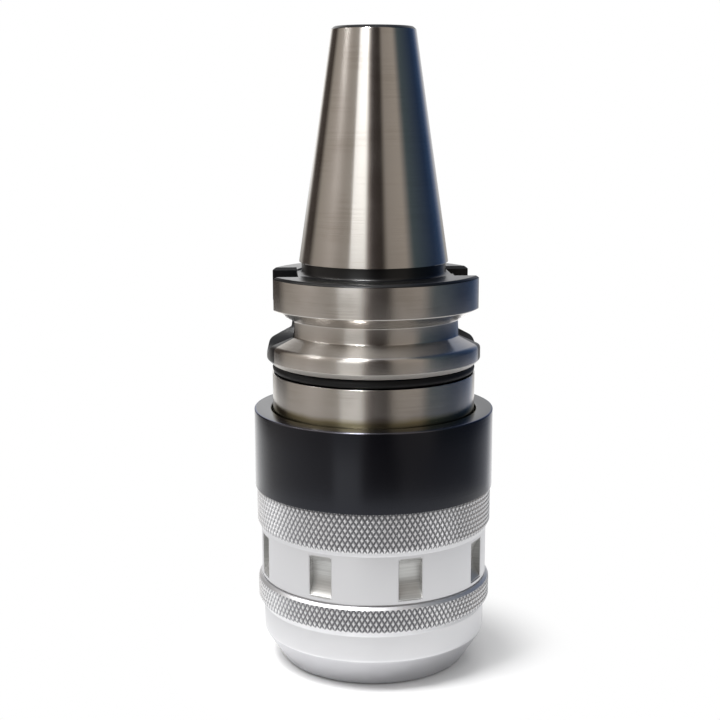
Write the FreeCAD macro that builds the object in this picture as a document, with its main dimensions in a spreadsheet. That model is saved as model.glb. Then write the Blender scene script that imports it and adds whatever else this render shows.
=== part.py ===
"""Collet chuck holder: steep-taper shank with a roller-type clamping nut.

Millimetres and degrees. The origin is the centre of the nut's nose, +Z runs up the axis towards
the small end of the taper, and the drive keyways lie on +X and -X. The nut stands open, at the
bottom of its travel. It turns anticlockwise seen from +Z as it climbs: the needle rollers lie
slightly askew between two long tapers, so they draw it up and squeeze the barrel on the tool.
"""
import FreeCAD, Part
import math
import os
import re

import Sketcher

Vector = FreeCAD.Vector
Rotation = FreeCAD.Rotation
Placement = FreeCAD.Placement

# Driving dimensions. Heights of the shank are from the barrel's nose, "drops" are from the gauge
# plane, and heights of the nut are from its own nose.
SIZES = {
    # Steep taper, size 30, and the neck behind it
    "gauge_radius": 15.875,
    "steep_taper_fall": 7,
    "steep_taper_run": 24,
    "steep_taper_length": 48.4,
    "small_end_chamfer": 0.6,
    "ground_land": 0.3,
    "neck_radius": 15.4,
    "neck_corner": 0.8,
    "relief_radius": 17,
    "relief_depth": 0.3,
    # Gripper flange
    "projection_length": 80,
    "flange_radius": 23,
    "flange_face_drop": 2.6,
    "flange_rear_drop": 22,
    "flange_face_chamfer": 0.45,
    "flange_rear_chamfer": 1.1,
    "gripper_groove_drop": 13.6,
    "gripper_groove_floor_radius": 19,
    "gripper_groove_floor_width": 3.4,
    "gripper_groove_wall_angle": 30,
    "gripper_groove_edge_break": 0.25,
    # Drive keyways
    "keyway_width": 16.1,
    "keyway_floor_distance": 16.3,
    "keyway_end_drop": 11.9,
    "keyway_edge_chamfer": 0.6,
    # O-ring under the flange
    "oring_groove_floor_radius": 19.8,
    "oring_groove_width": 2.1,
    "oring_cord_radius": 1,
    "oring_clearance": 0.02,
    "oring_section_sides": 8,
    # Collar and clamping barrel
    "collar_radius": 21.85,
    "collar_chamfer": 0.35,
    "collar_shoulder_clearance": 0.47,
    "clamp_taper_angle": 1,
    "clamp_taper_step": 0.6,
    "barrel_nose_radius": 15.2,
    "barrel_nose_chamfer": 0.8,
    "tool_bore_radius": 10,
    "tool_bore_depth": 60,
    "tool_bore_chamfer": 0.8,
    # Pull-stud hole in the small end, and the coolant way behind it
    "stud_guide_radius": 6.25,
    "stud_guide_depth": 7,
    "stud_thread_radius": 5.1,
    "stud_hole_depth": 34,
    "stud_mouth_chamfer": 0.6,
    "drill_point_angle": 118,
    "coolant_way_radius": 3.25,
    # Snap ring that keeps the cage on the barrel
    "snap_groove_height": 3.4,
    "snap_groove_depth": 1,
    "snap_ring_thickness": 1,
    "snap_ring_width": 3,
    "snap_ring_gap_angle": 24,
    "snap_ring_clearance": 0.05,
    # Needle rollers and their cage; the rollers are as long as the cage leaves room for
    "roller_radius": 1.5,
    "roller_squeeze_clearance": 0.02,
    "roller_facets": 8,
    "rollers_per_row": 12,
    "roller_rows": 3,
    "cage_thickness": 2,
    "cage_end_web": 1.4,
    "cage_row_web": 1.3,
    "cage_window_clearance": 0.1,
    "cage_axial_play": 0.3,
    # Clamping nut; its radii step out from the spigot that carries the cover ring
    "nut_overhang": 8.1,
    "nose_standoff": 0.42,
    "nut_turns": 2.5,
    "nut_pocket_phase": 13.7,
    "nut_shoulder_width": 2.55,
    "nut_shoulder_height": 39.1,
    "spigot_length": 4.05,
    "upper_knurl_base": 29.8,
    "upper_knurl_start": 31.6,
    "middle_band_step": 0.85,
    "parting_groove_depth": 0.5,
    "parting_groove_width": 0.4,
    "knurl_end_chamfer": 0.5,
    "lower_knurl_step": 0.05,
    "lower_knurl_end": 18.6,
    "lower_knurl_start": 14.2,
    "lower_knurl_base": 12.5,
    "nose_band_step": 1.2,
    "nose_bevel_height": 6.9,
    "nose_bevel_angle": 33,
    "nose_edge_break": 0.5,
    "nose_opening_clearance": 0.5,
    "nose_wall_clearance": 0.42,
    "nose_cavity_relief": 0.27,
    "nose_cavity_height": 9.8,
    "pocket_count": 8,
    "pocket_width": 5.1,
    "pocket_depth": 1.9,
    "pocket_cutter_radius": 6.35,
    "pocket_centre_height": 24.65,
    # Cover ring on the nut, its stop washer and the two wipers
    "cover_step": 0.35,
    "cover_height": 17,
    "cover_bore_clearance": 0.35,
    "cover_shoulder_width": 0.8,
    "cover_edge_chamfer": 0.5,
    "spigot_thread_clearance": 0.05,
    "washer_thickness": 1,
    "washer_rim_clearance": 0.15,
    "cage_stop_overlap": 1.3,
    "wiper_groove_height": 13.8,
    "wiper_groove_width": 2,
    "wiper_groove_depth": 1.3,
    "nose_seal_height": 0.9,
    "nose_seal_width": 1.7,
    "nose_seal_depth": 1.9,
    "seal_seat_clearance": 0.05,
    "seal_lip_clearance": 0.05,
    "seal_lip_land": 0.5,
}

document = FreeCAD.newDocument("ColletChuckHolder")
sheet = document.addObject("Spreadsheet::Sheet", "Sizes")
for row, (alias, number) in enumerate(SIZES.items(), start=1):
    sheet.set(f"A{row}", alias)
    sheet.set(f"B{row}", str(number))
    sheet.setAlias(f"B{row}", alias)
document.recompute()

# Heights and radii that follow from the driving dimensions, as expressions.
FACE = "(projection_length - flange_face_drop)"
REAR = "(projection_length - flange_rear_drop)"
GROOVE = "(projection_length - gripper_groove_drop)"
STEEP_SLOPE = "(steep_taper_fall / 2 / steep_taper_run)"
NUT_TRAVEL = "(nut_overhang - nose_standoff)"
SNAP_END = "(snap_groove_height + snap_ring_thickness + 2 * snap_ring_clearance)"
SNAP_FLOOR = "(barrel_nose_radius - snap_groove_depth)"
COVER_BORE = "(collar_radius + cover_bore_clearance)"
SPIGOT_RADIUS = f"({COVER_BORE} + cover_shoulder_width)"
SPIGOT_END = "(nut_shoulder_height + spigot_length)"
WASHER_TOP = "(spigot_length + washer_thickness)"
NUT_RADIUS = f"({SPIGOT_RADIUS} + nut_shoulder_width)"
MIDDLE_BAND = f"({NUT_RADIUS} - middle_band_step)"
NOSE_OPENING = "(barrel_nose_radius + nose_opening_clearance)"
COLLAR_SHOULDER = (f"(nut_shoulder_height + {WASHER_TOP} - nose_standoff"
                   " + collar_shoulder_clearance)")
ROLLER_SPACE = (f"(2 * roller_radius + 2 * roller_squeeze_clearance"
                f" + {NUT_TRAVEL} * tan(clamp_taper_angle))")
CAGE_FOOT = f"({SNAP_END} - snap_ring_clearance + cage_axial_play)"
CAGE_LENGTH = f"({SPIGOT_END} - nut_overhang - {CAGE_FOOT} - cage_axial_play)"
ROW_PITCH = f"(({CAGE_LENGTH} - 2 * cage_end_web + cage_row_web) / roller_rows)"
ROLLER_LENGTH = f"({ROW_PITCH} - cage_row_web - 2 * cage_window_clearance)"


def formula(text):
    """Point each size's name in an expression at its cell in the sheet."""
    return re.sub(r"\b[a-z]+_[a-z_]+\b", lambda match: "Sizes." + match.group(), str(text))


def value(text):
    """Work an expression out as a plain number, for the places that part.py sets itself."""
    return float(sheet.evalExpression(formula(text)))


def barrel_radius(height):
    """Radius of the barrel's clamping taper at a height above the barrel's nose."""
    rise = f"({height} - {SNAP_END}) * tan(clamp_taper_angle)"
    return f"(barrel_nose_radius + clamp_taper_step + {rise})"


def nut_bore_radius(height):
    """Radius of the nut's tapered bore at a height above the nut's nose, with the nut open."""
    return f"({barrel_radius(f'({height} - nut_overhang)')} + {ROLLER_SPACE})"


def new_body(label):
    """Start a solid piece; its label names its file."""
    body = document.addObject("PartDesign::Body", label)
    body.Label = label
    return body


def origin_feature(body, role):
    """Find one of the body's own origin planes or axes."""
    return next(item for item in body.Origin.OriginFeatures if item.Role == role)


def new_sketch(body, role, name):
    """Attach a sketch to one of the body's origin planes."""
    sketch = body.newObject("Sketcher::SketchObject", name)
    sketch.AttachmentSupport = [(origin_feature(body, role), "")]
    sketch.MapMode = "FlatFace"
    return sketch


def fix_point(sketch, geometry, point, across, up):
    """Tie a sketch point to two expressions, measured from the sketch's origin."""
    for axis, kind, text in ((-2, "DistanceX", across), (-1, "DistanceY", up)):
        if text == "0":
            sketch.addConstraint(Sketcher.Constraint("PointOnObject", geometry, point, axis))
            continue
        index = sketch.addConstraint(
            Sketcher.Constraint(kind, -1, 1, geometry, point, value(text)))
        sketch.setExpression(f"Constraints[{index}]", formula(text))


def draw_outline(sketch, corners):
    """Draw a closed outline through corners, each one a pair of expressions."""
    places = [Vector(value(across), value(up), 0) for across, up in corners]
    for start, end in zip(places, places[1:] + places[:1]):
        sketch.addGeometry(Part.LineSegment(start, end), False)
    for index, (across, up) in enumerate(corners):
        before = (index - 1) % len(corners)
        sketch.addConstraint(Sketcher.Constraint("Coincident", before, 2, index, 1))
        fix_point(sketch, index, 1, across, up)


def draw_circle(sketch, across, up, radius):
    """Draw a circle whose centre and radius are expressions."""
    circle = Part.Circle(Vector(value(across), value(up), 0), Vector(0, 0, 1), value(radius))
    geometry = sketch.addGeometry(circle, False)
    index = sketch.addConstraint(Sketcher.Constraint("Radius", geometry, value(radius)))
    sketch.setExpression(f"Constraints[{index}]", formula(radius))
    fix_point(sketch, geometry, 3, across, up)


def turn(body, corners, sweep="360"):
    """Turn an outline of (radius, height) corners about the body's Z axis."""
    sketch = new_sketch(body, "XZ_Plane", body.Label + "_section")
    draw_outline(sketch, corners)
    turned = body.newObject("PartDesign::Revolution", body.Label + "_turned")
    turned.Profile = sketch
    turned.ReferenceAxis = (sketch, ["V_Axis"])
    turned.setExpression("Angle", formula(sweep))
    document.recompute()
    return turned


def cut(body, sketch, name, length=None, outward=False, midplane=False):
    """Cut a sketch into the body and check that the cut really takes metal away."""
    before = body.Shape.Volume
    pocket = body.newObject("PartDesign::Pocket", name)
    pocket.Profile = sketch
    pocket.Reversed = outward
    if midplane:
        pocket.SideType = "Symmetric"
    if length is None:
        pocket.Type = "ThroughAll"
    else:
        pocket.setExpression("Length", formula(length))
    document.recompute()
    if body.Shape.Volume >= before:
        raise RuntimeError(name + " cuts nothing")
    return pocket


def repeat_round(body, feature, name, count):
    """Repeat a cut evenly round the body's Z axis."""
    pattern = body.newObject("PartDesign::PolarPattern", name)
    pattern.Originals = [feature]
    pattern.Axis = (origin_feature(body, "Z_Axis"), [""])
    pattern.Angle = 360
    pattern.setExpression("Occurrences", formula(count))
    body.Tip = pattern
    document.recompute()
    return pattern


def rims(shape, radius, height):
    """Names of the circular edges of a radius at a height."""
    names = []
    for index, edge in enumerate(shape.Edges, start=1):
        if not isinstance(edge.Curve, Part.Circle):
            continue
        off_size = abs(edge.Curve.Radius - value(radius))
        off_height = abs(edge.Curve.Center.z - value(height))
        if max(off_size, off_height) < 1e-4:
            names.append(f"Edge{index}")
    return names


def dress(body, kind, size_property, size, edges, name):
    """Put a fillet or a chamfer on named edges of the body's last feature."""
    if not edges:
        raise RuntimeError(name + " has no edge to dress")
    feature = body.newObject(kind, name)
    feature.Base = (body.Tip if body.Tip != feature else feature.BaseFeature, edges)
    feature.setExpression(size_property, formula(size))
    document.recompute()
    return feature


def chamfer(body, size, edges, name):
    return dress(body, "PartDesign::Chamfer", "Size", size, edges, name)


def lift(piece, height):
    """Set a piece at its height in the assembly."""
    piece.setExpression("Placement.Base.z", formula(height))


# ------------------------------------------------------------------ shank


def shank_section():
    """Outer outline of the shank, from the barrel's nose up to the taper's small end."""
    half_floor = "gripper_groove_floor_width / 2"
    wall_rise = "(flange_radius - gripper_groove_floor_radius) * tan(gripper_groove_wall_angle)"
    half_mouth = f"({half_floor} + {wall_rise})"
    small_radius = f"(gauge_radius - steep_taper_length * {STEEP_SLOPE})"
    total = "(projection_length + steep_taper_length)"
    edge_break = "gripper_groove_edge_break"
    inset = f"{edge_break} * tan(gripper_groove_wall_angle)"
    return [
        ("0", "0"),
        ("barrel_nose_radius - barrel_nose_chamfer", "0"),
        ("barrel_nose_radius", "barrel_nose_chamfer"),
        ("barrel_nose_radius", "snap_groove_height"),
        (SNAP_FLOOR, "snap_groove_height"),
        (SNAP_FLOOR, SNAP_END),
        (barrel_radius(SNAP_END), SNAP_END),
        (barrel_radius(COLLAR_SHOULDER), COLLAR_SHOULDER),
        ("collar_radius - collar_chamfer", COLLAR_SHOULDER),
        ("collar_radius", f"{COLLAR_SHOULDER} + collar_chamfer"),
        ("collar_radius", f"{REAR} - oring_groove_width"),
        ("oring_groove_floor_radius", f"{REAR} - oring_groove_width"),
        ("oring_groove_floor_radius", REAR),
        ("flange_radius - flange_rear_chamfer", REAR),
        ("flange_radius", f"{REAR} + flange_rear_chamfer"),
        ("flange_radius", f"{GROOVE} - {half_mouth} - {edge_break}"),
        (f"flange_radius - {edge_break}", f"{GROOVE} - {half_mouth} + {inset}"),
        ("gripper_groove_floor_radius", f"{GROOVE} - {half_floor}"),
        ("gripper_groove_floor_radius", f"{GROOVE} + {half_floor}"),
        (f"flange_radius - {edge_break}", f"{GROOVE} + {half_mouth} - {inset}"),
        ("flange_radius", f"{GROOVE} + {half_mouth} + {edge_break}"),
        ("flange_radius", f"{FACE} - flange_face_chamfer"),
        ("flange_radius - flange_face_chamfer", FACE),
        ("relief_radius", FACE),
        ("relief_radius", f"{FACE} - relief_depth"),
        ("neck_radius + neck_corner", f"{FACE} - relief_depth"),
        ("neck_radius", f"{FACE} - relief_depth + neck_corner"),
        ("neck_radius", "projection_length - ground_land"),
        (f"gauge_radius + ground_land * {STEEP_SLOPE}", "projection_length - ground_land"),
        (f"{small_radius} + small_end_chamfer * {STEEP_SLOPE}", f"{total} - small_end_chamfer"),
        (f"{small_radius} - small_end_chamfer", total),
        ("0", total),
    ]


def add_keyways(body):
    """Mill the two drive keyways, with full-round lower ends and broken edges at the face."""
    end_height = "(projection_length - keyway_end_drop)"
    half = "(keyway_width / 2)"
    flare = f"({half} + keyway_edge_chamfer)"
    side = [(half, f"{FACE} - keyway_edge_chamfer"), (flare, FACE), (flare, "projection_length")]
    corners = side + [("-" + across, up) for across, up in reversed(side)]
    sketch = new_sketch(body, "YZ_Plane", "keyway_outline")
    sketch.setExpression("AttachmentOffset.Base.z", formula("keyway_floor_distance"))
    bottom = Part.Circle(Vector(0, value(end_height), 0), Vector(0, 0, 1), value(half))
    sketch.addGeometry(Part.ArcOfCircle(bottom, math.pi, 2 * math.pi), False)
    ends = [(half, end_height), *corners, ("-" + half, end_height)]
    places = [Vector(value(across), value(up), 0) for across, up in ends]
    for start, end in zip(places, places[1:]):
        sketch.addGeometry(Part.LineSegment(start, end), False)
    for index, (across, up) in enumerate(corners, start=1):
        sketch.addConstraint(Sketcher.Constraint("Coincident", index, 2, index + 1, 1))
        fix_point(sketch, index, 2, across, up)
    last = len(corners) + 1
    sketch.addConstraint(Sketcher.Constraint("Tangent", 0, 2, 1, 1))
    sketch.addConstraint(Sketcher.Constraint("Tangent", last, 2, 0, 1))
    fix_point(sketch, 0, 3, "0", end_height)
    keyway = cut(body, sketch, "keyway", outward=True)
    repeat_round(body, keyway, "keyways", "2")


def add_tool_bore(body):
    """Bore the barrel from its nose and break the mouth."""
    sketch = new_sketch(body, "XY_Plane", "tool_bore_circle")
    draw_circle(sketch, "0", "0", "tool_bore_radius")
    cut(body, sketch, "tool_bore", "tool_bore_depth", outward=True)
    mouth = rims(body.Tip.Shape, "tool_bore_radius", "0")
    chamfer(body, "tool_bore_chamfer", mouth, "tool_bore_mouth")


def add_stud_hole(body):
    """Drill the pull-stud hole into the small end, with its guide bore, and the coolant way."""
    top = "(projection_length + steep_taper_length)"
    sketch = new_sketch(body, "XY_Plane", "stud_hole_centre")
    sketch.setExpression("AttachmentOffset.Base.z", formula(top))
    draw_circle(sketch, "0", "0", "stud_thread_radius")
    document.recompute()
    hole = body.newObject("PartDesign::Hole", "stud_hole")
    hole.Profile = sketch
    document.recompute()
    hole.Threaded = False
    hole.setExpression("Diameter", formula("2 * stud_thread_radius"))
    hole.DepthType = "Dimension"
    hole.setExpression("Depth", formula("stud_hole_depth"))
    hole.DrillPoint = "Angled"
    hole.setExpression("DrillPointAngle", formula("drill_point_angle"))
    hole.HoleCutType = "Counterbore"
    hole.HoleCutCustomValues = True
    hole.setExpression("HoleCutDiameter", formula("2 * stud_guide_radius"))
    hole.setExpression("HoleCutDepth", formula("stud_guide_depth"))
    document.recompute()
    mouth = rims(body.Tip.Shape, "stud_guide_radius", top)
    chamfer(body, "stud_mouth_chamfer", mouth, "stud_hole_mouth")
    way = new_sketch(body, "XY_Plane", "coolant_way_circle")
    way.setExpression("AttachmentOffset.Base.z", formula(top))
    draw_circle(way, "0", "0", "coolant_way_radius")
    cut(body, way, "coolant_way")


def make_shank_body():
    body = new_body("shank_body")
    turn(body, shank_section())
    add_keyways(body)
    add_tool_bore(body)
    add_stud_hole(body)
    lift(body, "nut_overhang")
    return body


def make_flange_o_ring():
    """Rubber cord in the groove under the flange; its round section is drawn with a few sides."""
    body = new_body("flange_o_ring")
    centre = "(oring_groove_floor_radius + oring_clearance + oring_cord_radius)"
    corners = []
    for side in range(int(value("oring_section_sides"))):
        angle = f"({side} + 0.5) * 360 / oring_section_sides"
        corners.append((f"{centre} + oring_cord_radius * cos({angle})",
                        f"oring_cord_radius * (1 + sin({angle}))"))
    turn(body, corners)
    lift(body, f"nut_overhang + {REAR} - oring_groove_width / 2 - oring_cord_radius")
    return body


def make_cage_snap_ring():
    """Open ring in the barrel's groove; its gap lets it spring over the nose."""
    body = new_body("cage_snap_ring")
    inner = f"{SNAP_FLOOR} + snap_ring_clearance"
    turn(body, [
        (inner, "0"),
        (f"{inner} + snap_ring_width", "0"),
        (f"{inner} + snap_ring_width", "snap_ring_thickness"),
        (inner, "snap_ring_thickness"),
    ], sweep="360 - snap_ring_gap_angle")
    lift(body, "nut_overhang + snap_groove_height + snap_ring_clearance")
    return body


# ------------------------------------------------------------------ rollers and cage


def cage_wall_radius(height, wall):
    """Radius of the cage's wall, which lies midway between barrel and nut at any height."""
    middle = f"{barrel_radius(f'({CAGE_FOOT} + {height})')} + {ROLLER_SPACE} / 2"
    return f"({middle} + {wall} * cage_thickness / 2)"


def row_centre(row):
    """Height of a row's middle above the foot of the cage."""
    return f"(cage_end_web + cage_window_clearance + {ROLLER_LENGTH} / 2 + {row} * {ROW_PITCH})"


def row_stagger(row):
    """Every other row starts half a window round, so the rollers carry evenly."""
    return 180 / value("rollers_per_row") if row % 2 else 0


def roller_skew():
    """Tilt that makes a roller's track climb the nut's travel in its turns."""
    pitch_radius = f"({cage_wall_radius(f'({CAGE_LENGTH} / 2)', '0')})"
    return value(f"atan({NUT_TRAVEL} / (nut_turns * 2 * pi * {pitch_radius}))")


def make_roller_cage():
    """Conical sleeve with rows of windows, one for each needle roller."""
    body = new_body("roller_cage")
    turn(body, [
        (cage_wall_radius("0", "-1"), "0"),
        (cage_wall_radius("0", "1"), "0"),
        (cage_wall_radius(CAGE_LENGTH, "1"), CAGE_LENGTH),
        (cage_wall_radius(CAGE_LENGTH, "-1"), CAGE_LENGTH),
    ])
    half_width = "(roller_radius + cage_window_clearance)"
    half_length = f"({ROLLER_LENGTH} / 2 + cage_window_clearance)"
    outside = value(cage_wall_radius(CAGE_LENGTH, "1"))
    for row in range(int(value("roller_rows"))):
        sketch = new_sketch(body, "YZ_Plane", f"window_outline_{row + 1}")
        swing = Rotation(Vector(0, 1, 0), row_stagger(row))
        tilt = Rotation(Vector(0, 0, 1), roller_skew())
        outward = swing.multVec(Vector(0, 0, outside))
        centre = outward + Vector(0, value(row_centre(row)), 0)
        sketch.AttachmentOffset = Placement(centre, swing * tilt)
        draw_outline(sketch, [
            (f"-{half_width}", f"-{half_length}"),
            (half_width, f"-{half_length}"),
            (half_width, half_length),
            (f"-{half_width}", half_length),
        ])
        window = cut(body, sketch, f"window_{row + 1}", "3 * cage_thickness")
        repeat_round(body, window, f"window_row_{row + 1}", "rollers_per_row")
    lift(body, f"nut_overhang + {CAGE_FOOT}")
    return body


def make_needle_rollers():
    """One roller in each window, tilted with the taper and askew about its own radius.

    Each is a prism of many sides inside its true cylinder, so that the whole set stays light.
    """
    rollers = []
    lean = Rotation(Vector(0, 1, 0), value("clamp_taper_angle"))
    skew = Rotation(Vector(1, 0, 0), roller_skew())
    for row in range(int(value("roller_rows"))):
        radius = value(cage_wall_radius(row_centre(row), "0"))
        height = value(f"nut_overhang + {CAGE_FOOT} + {row_centre(row)}")
        for place in range(int(value("rollers_per_row"))):
            label = f"needle_roller_{row + 1}_{place + 1:02d}"
            roller = document.addObject("Part::Prism", label)
            roller.setExpression("Polygon", formula("roller_facets"))
            roller.setExpression("Circumradius", formula("roller_radius"))
            roller.setExpression("Height", formula(ROLLER_LENGTH))
            angle = row_stagger(row) + place * 360 / value("rollers_per_row")
            swing = Rotation(Vector(0, 0, 1), angle)
            turned = swing * skew * lean
            centre = swing.multVec(Vector(radius, 0, 0)) + Vector(0, 0, height)
            foot = turned.multVec(Vector(0, 0, value(f"{ROLLER_LENGTH} / 2")))
            roller.Placement = Placement(centre - foot, turned)
            rollers.append(roller)
    return rollers


# ------------------------------------------------------------------ nut


def nut_section():
    """Outline of the nut: outside from nose to spigot, then down the tapered bore."""
    lower_knurl = f"({NUT_RADIUS} - lower_knurl_step)"
    nose_band = f"({NUT_RADIUS} - nose_band_step)"
    nose_face = f"({nose_band} - nose_bevel_height * tan(nose_bevel_angle))"
    parting_floor = f"({MIDDLE_BAND} - parting_groove_depth)"
    knurl_top = "(lower_knurl_end + knurl_end_chamfer)"
    parting_top = f"({knurl_top} + parting_groove_width)"
    nose_wall = "(nose_standoff + snap_groove_height - nose_wall_clearance)"
    cavity = f"({nut_bore_radius('nose_cavity_height')} + nose_cavity_relief)"
    seal_floor = f"({NOSE_OPENING} + nose_seal_depth)"
    seal_top = "(nose_seal_height + nose_seal_width)"
    return [
        (NOSE_OPENING, "0"),
        (f"{nose_face} - nose_edge_break", "0"),
        (f"{nose_face} + nose_edge_break * tan(nose_bevel_angle)", "nose_edge_break"),
        (nose_band, "nose_bevel_height"),
        (nose_band, "lower_knurl_base"),
        (lower_knurl, "lower_knurl_start"),
        (lower_knurl, "lower_knurl_end"),
        (f"{lower_knurl} - 1.4 * knurl_end_chamfer", knurl_top),
        (parting_floor, knurl_top),
        (parting_floor, parting_top),
        (MIDDLE_BAND, parting_top),
        (MIDDLE_BAND, "upper_knurl_base"),
        (NUT_RADIUS, "upper_knurl_start"),
        (NUT_RADIUS, "nut_shoulder_height"),
        (SPIGOT_RADIUS, "nut_shoulder_height"),
        (SPIGOT_RADIUS, SPIGOT_END),
        (nut_bore_radius(SPIGOT_END), SPIGOT_END),
        (nut_bore_radius("nose_cavity_height"), "nose_cavity_height"),
        (cavity, "nose_cavity_height"),
        (cavity, nose_wall),
        (NOSE_OPENING, nose_wall),
        (NOSE_OPENING, seal_top),
        (seal_floor, seal_top),
        (seal_floor, "nose_seal_height"),
        (NOSE_OPENING, "nose_seal_height"),
    ]


def make_clamping_nut():
    """Nut with two raised knurling bands and a ring of milled wrench pockets."""
    body = new_body("clamping_nut")
    turn(body, nut_section())
    sketch = new_sketch(body, "XZ_Plane", "pocket_circle")
    draw_circle(sketch, f"{MIDDLE_BAND} - pocket_depth + pocket_cutter_radius",
                "pocket_centre_height", "pocket_cutter_radius")
    pocket = cut(body, sketch, "wrench_pocket", "pocket_width", midplane=True)
    repeat_round(body, pocket, "wrench_pockets", "pocket_count")
    body.Placement = Placement(Vector(), Rotation(Vector(0, 0, 1), value("nut_pocket_phase")))
    return body


def make_cover_ring():
    """Black ring screwed on the nut's spigot; it slides over the shank's collar."""
    body = new_body("cover_ring")
    socket = f"({SPIGOT_RADIUS} + spigot_thread_clearance)"
    outside = f"({NUT_RADIUS} + cover_step)"
    groove = f"({COVER_BORE} + wiper_groove_depth)"
    groove_top = "(wiper_groove_height + wiper_groove_width)"
    edge = "cover_edge_chamfer"
    turn(body, [
        (socket, "0"),
        (outside, "0"),
        (outside, f"cover_height - {edge}"),
        (f"{outside} - {edge}", "cover_height"),
        (f"{COVER_BORE} + {edge}", "cover_height"),
        (COVER_BORE, f"cover_height - {edge}"),
        (COVER_BORE, groove_top),
        (groove, groove_top),
        (groove, "wiper_groove_height"),
        (COVER_BORE, "wiper_groove_height"),
        (COVER_BORE, WASHER_TOP),
        (socket, WASHER_TOP),
    ])
    lift(body, "nut_shoulder_height")
    return body


def make_cage_stop_washer():
    """Washer between the spigot's end and the cover ring; it stops the nut coming off the cage."""
    body = new_body("cage_stop_washer")
    hole = f"({cage_wall_radius(CAGE_LENGTH, '1')} - cage_stop_overlap)"
    rim = f"({SPIGOT_RADIUS} - washer_rim_clearance)"
    turn(body, [
        (hole, "0"),
        (rim, "0"),
        (rim, "washer_thickness"),
        (hole, "washer_thickness"),
    ])
    lift(body, SPIGOT_END)
    return body


def make_wiper(label, groove_radius, groove_width, shaft_radius, height):
    """Rubber ring seated in a groove; it narrows to the lip that reaches in to the shaft."""
    body = new_body(label)
    heel = f"({groove_radius} - seal_seat_clearance)"
    width = f"({groove_width} - 2 * seal_seat_clearance)"
    lip = f"({shaft_radius} + seal_lip_clearance)"
    turn(body, [
        (heel, "0"),
        (heel, width),
        (lip, f"({width} + seal_lip_land) / 2"),
        (lip, f"({width} - seal_lip_land) / 2"),
    ])
    lift(body, f"{height} + seal_seat_clearance")
    return body


def make_collar_wiper():
    return make_wiper("collar_wiper", f"({COVER_BORE} + wiper_groove_depth)", "wiper_groove_width",
                      "collar_radius", "nut_shoulder_height + wiper_groove_height")


def make_nose_seal():
    return make_wiper("nose_seal", f"({NOSE_OPENING} + nose_seal_depth)", "nose_seal_width",
                      "barrel_nose_radius", "nose_seal_height")


pieces = [
    make_shank_body(),
    make_flange_o_ring(),
    make_cage_snap_ring(),
    make_roller_cage(),
    *make_needle_rollers(),
    make_clamping_nut(),
    make_cover_ring(),
    make_cage_stop_washer(),
    make_collar_wiper(),
    make_nose_seal(),
]
document.recompute()

for item in document.Objects:
    if "Invalid" in item.State or "Error" in item.State:
        raise RuntimeError(f"{item.Label} failed: {item.State}")
for piece in pieces:
    if piece.Shape.isNull() or not piece.Shape.isValid() or len(piece.Shape.Solids) != 1:
        raise RuntimeError(f"{piece.Label} is not one sound solid")

os.makedirs("parts", exist_ok=True)
for piece in pieces:
    piece.Shape.exportStep(f"parts/{piece.Label}.step")
print(len(pieces), "pieces written")
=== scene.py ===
"""Collet chuck holder: looks of the steep-taper shank, its seals and the knurled clamping nut."""
import math

import bmesh
import bpy
from mathutils import Matrix, Vector


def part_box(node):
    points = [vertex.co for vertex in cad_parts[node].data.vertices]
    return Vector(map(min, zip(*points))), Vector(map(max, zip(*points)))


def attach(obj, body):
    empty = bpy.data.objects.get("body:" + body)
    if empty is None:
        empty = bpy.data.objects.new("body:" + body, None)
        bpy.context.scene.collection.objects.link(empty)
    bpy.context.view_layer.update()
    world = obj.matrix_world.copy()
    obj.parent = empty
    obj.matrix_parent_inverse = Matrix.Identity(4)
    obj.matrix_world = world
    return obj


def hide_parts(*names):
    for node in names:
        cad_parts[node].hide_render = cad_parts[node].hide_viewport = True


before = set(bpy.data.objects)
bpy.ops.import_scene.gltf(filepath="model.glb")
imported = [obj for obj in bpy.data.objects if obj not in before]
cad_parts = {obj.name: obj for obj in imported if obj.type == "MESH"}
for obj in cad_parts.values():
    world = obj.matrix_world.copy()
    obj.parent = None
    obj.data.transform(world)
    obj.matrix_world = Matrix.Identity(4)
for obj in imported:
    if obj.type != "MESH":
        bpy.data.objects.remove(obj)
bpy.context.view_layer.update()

# ---------------------------------------------------------------------------------- shank
# One piece of case-hardened tool steel, turned all over and then ground on the taper, the
# flange and the collar. The keyways, neck and relief keep the black oxide of the hardening.

# Radii and heights are in millimetres, heights from the stand.
MM = 0.001
shank_low, shank_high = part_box("shank_body")
BARREL_NOSE = shank_low.z / MM
BORE_RADIUS = 10
SNAP_GROOVE_RADIUS = 14.2
BARREL_THREAD_RADIUS = 15.2
BARREL_RADIUS = 15.8
BARREL_START = BARREL_NOSE + 4.5
BARREL_DEGREES = 1
COLLAR_SHOULDER = BARREL_NOSE + 44.2
COLLAR_RADIUS = 21.85
OIL_LINE = BARREL_NOSE + 49.6
SMALL_END = shank_high.z / MM
GAUGE_PLANE = SMALL_END - 48.4
GAUGE_RADIUS = 15.875
TAPER_SLOPE = 7 / 48
NECK_RADIUS = 15.4
RELIEF_RADIUS = 17
FLANGE_RADIUS = shank_high.y / MM
FLANGE_FACE = GAUGE_PLANE - 2.6
FLANGE_REAR = GAUGE_PLANE - 22
GROOVE_CENTRE = GAUGE_PLANE - 13.7
GROOVE_FLOOR = 19
GROOVE_DEGREES = 30
SEAL_GROOVE_RADIUS = 19.8
SEAL_GROOVE_WIDTH = 2.1
KEYWAY_HALF = 8.05
KEYWAY_FLOOR = 16.3
KEYWAY_END = GAUGE_PLANE - 11.9
STUD_GUIDE_RADIUS = 6.25
STUD_FLOOR = SMALL_END - 34
COOLANT_RADIUS = 3.25
THREAD_DRILL_RADIUS = 5.1
THREAD_ROOT = 6.0
THREAD_CREST = 5.15
THREAD_PITCH = 1.75
THREAD_TOP = SMALL_END - 7
THREAD_FOOT = SMALL_END - 29
SHARP_ANGLE = math.radians(32)


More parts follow.
